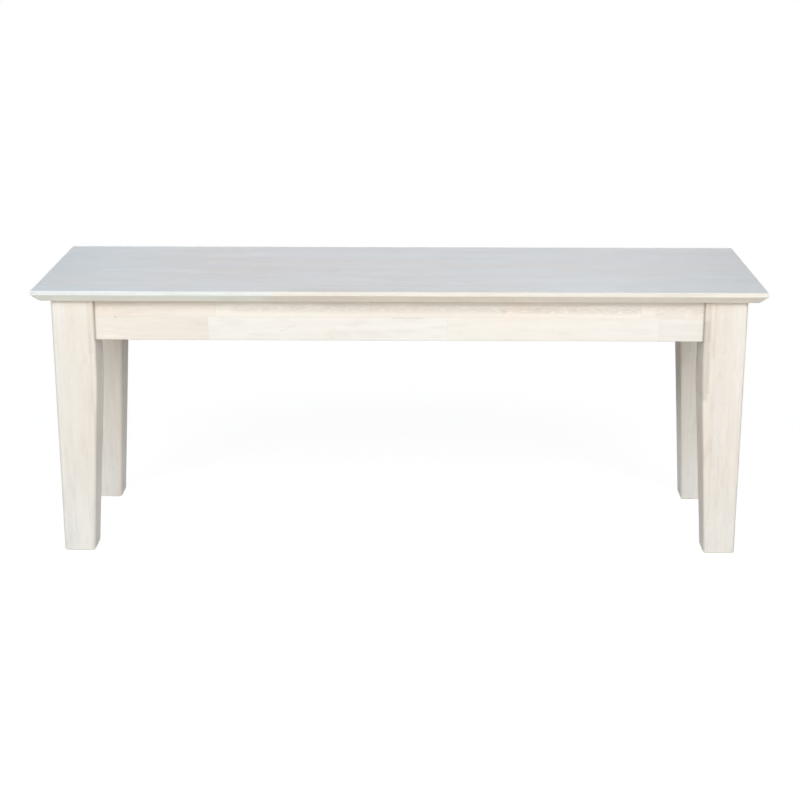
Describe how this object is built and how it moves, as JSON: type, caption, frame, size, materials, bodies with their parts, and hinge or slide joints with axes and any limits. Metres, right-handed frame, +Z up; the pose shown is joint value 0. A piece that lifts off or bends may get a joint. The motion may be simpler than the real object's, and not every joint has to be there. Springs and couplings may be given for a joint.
{
  "type": "backless bench",
  "caption": "Low backless bench in bare pale wood: thin overhanging seat with a bevelled under edge, straight aprons and square legs tapered on their inner faces.",
  "frame": {"origin": "on the floor, under the middle of the seat", "axes": "+Z up; +X along the seat, to the right of a person who looks at the front; the front faces -Y"},
  "size_m": [1.194, 0.36, 0.457],
  "materials": {
    "seat_wood": "bare, sanded, edge-glued pale hardwood",
    "apron_wood": "bare, sanded, finger-jointed pale hardwood",
    "leg_wood": "bare, sanded, laminated pale hardwood",
    "block_wood": "bare, sawn hardwood",
    "zinc_steel": "bright zinc plate"
  },
  "bodies": {
    "root": {"seat_board_1": "seat_wood", "seat_board_2": "seat_wood", "seat_board_3": "seat_wood", "seat_board_4": "seat_wood", "seat_board_5": "seat_wood", "apron_front": "apron_wood", "apron_back": "apron_wood", "apron_left": "apron_wood", "apron_right": "apron_wood", "leg_front_left": "leg_wood", "leg_front_right": "leg_wood", "leg_back_right": "leg_wood", "leg_back_left": "leg_wood", "corner_block_front_left": "block_wood", "corner_block_front_right": "block_wood", "corner_block_back_right": "block_wood", "corner_block_back_left": "block_wood", "cross_rail": "block_wood", "hanger_bolts": "zinc_steel", "bolt_washers": "zinc_steel", "bolt_nuts": "zinc_steel", "block_screws": "zinc_steel", "seat_screws": "zinc_steel", "pocket_screws": "zinc_steel"}
  },
  "joints": []
}
